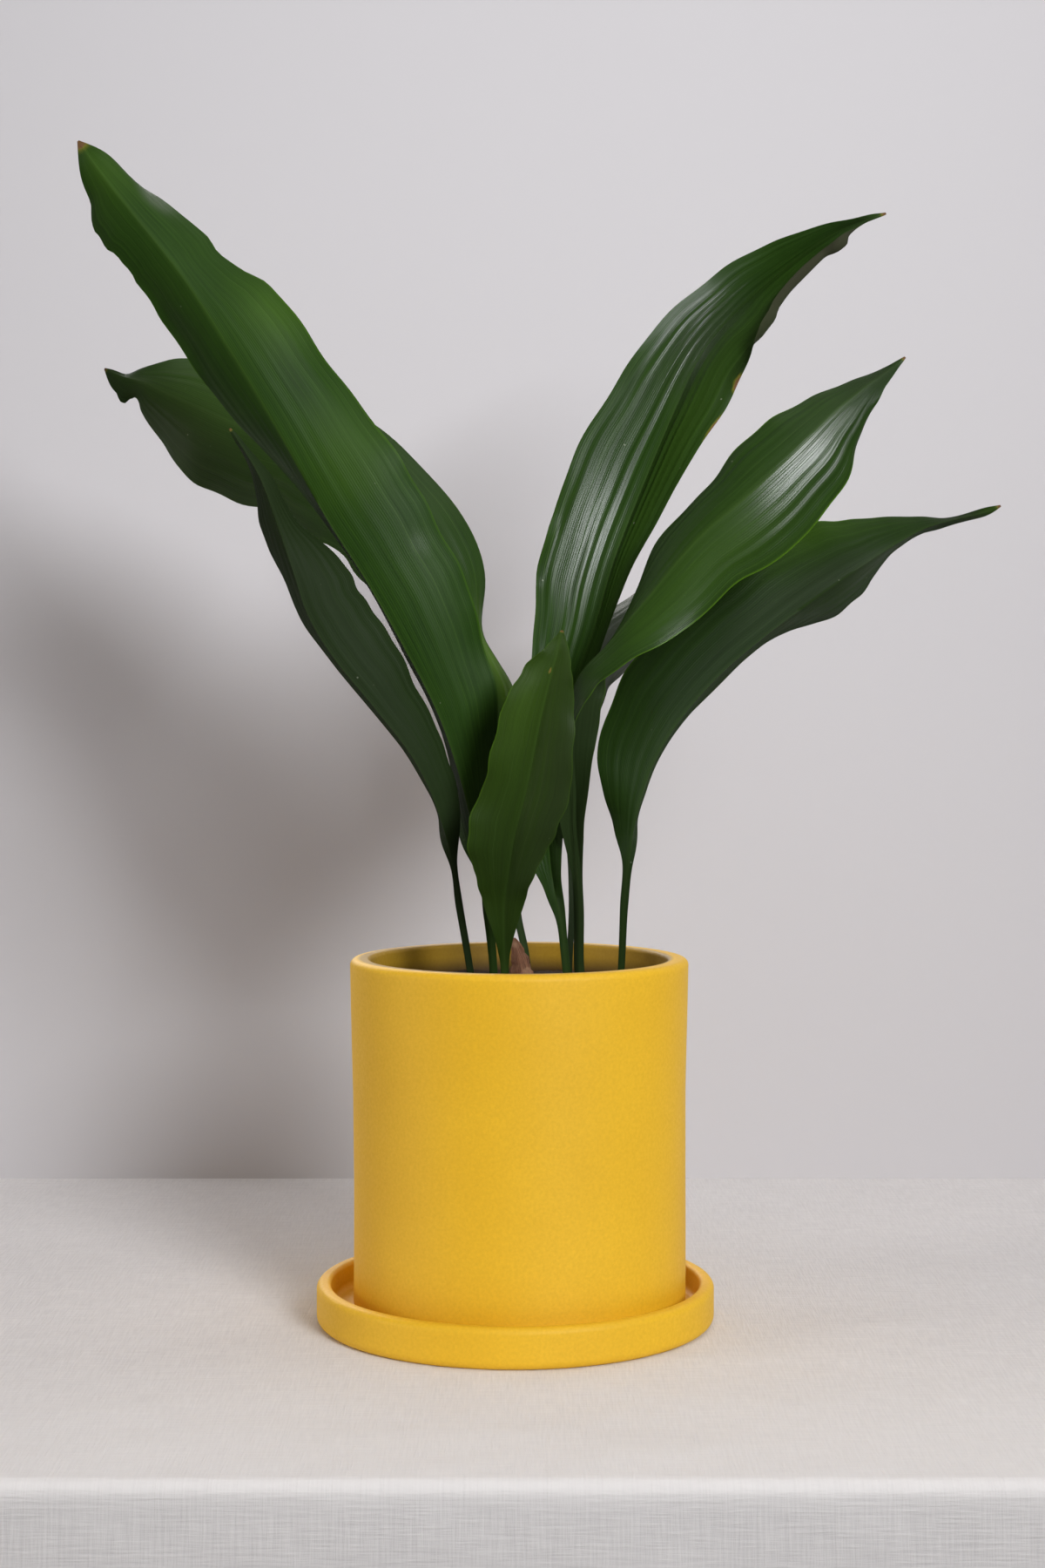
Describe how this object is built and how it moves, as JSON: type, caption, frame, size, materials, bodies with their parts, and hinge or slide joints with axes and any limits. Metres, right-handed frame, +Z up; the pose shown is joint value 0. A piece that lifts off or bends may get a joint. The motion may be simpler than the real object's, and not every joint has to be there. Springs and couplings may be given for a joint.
{
  "type": "potted houseplant",
  "caption": "Cast iron plant with long arching strap leaves on thin stalks, growing in a round pot that stands in a shallow saucer.",
  "frame": {"origin": "centre of the saucer's flat underside, on the surface that the object stands on", "axes": "+Z up along the height, -Y to the front that the picture shows, +X to the right of the picture"},
  "size_m": [0.4524, 0.2895, 0.5663],
  "materials": {
    "glaze": "matte",
    "soil": "matte",
    "sheath": "matte",
    "leaf": "satin"
  },
  "bodies": {
    "root": {"saucer": "glaze", "pot": "glaze", "soil": "soil", "sheath": "sheath", "leaf_front_left": "leaf", "leaf_left": "leaf", "leaf_back_left": "leaf", "leaf_centre": "leaf", "leaf_tall_right": "leaf", "leaf_mid_right": "leaf", "leaf_low_right": "leaf", "leaf_back": "leaf"}
  },
  "joints": []
}
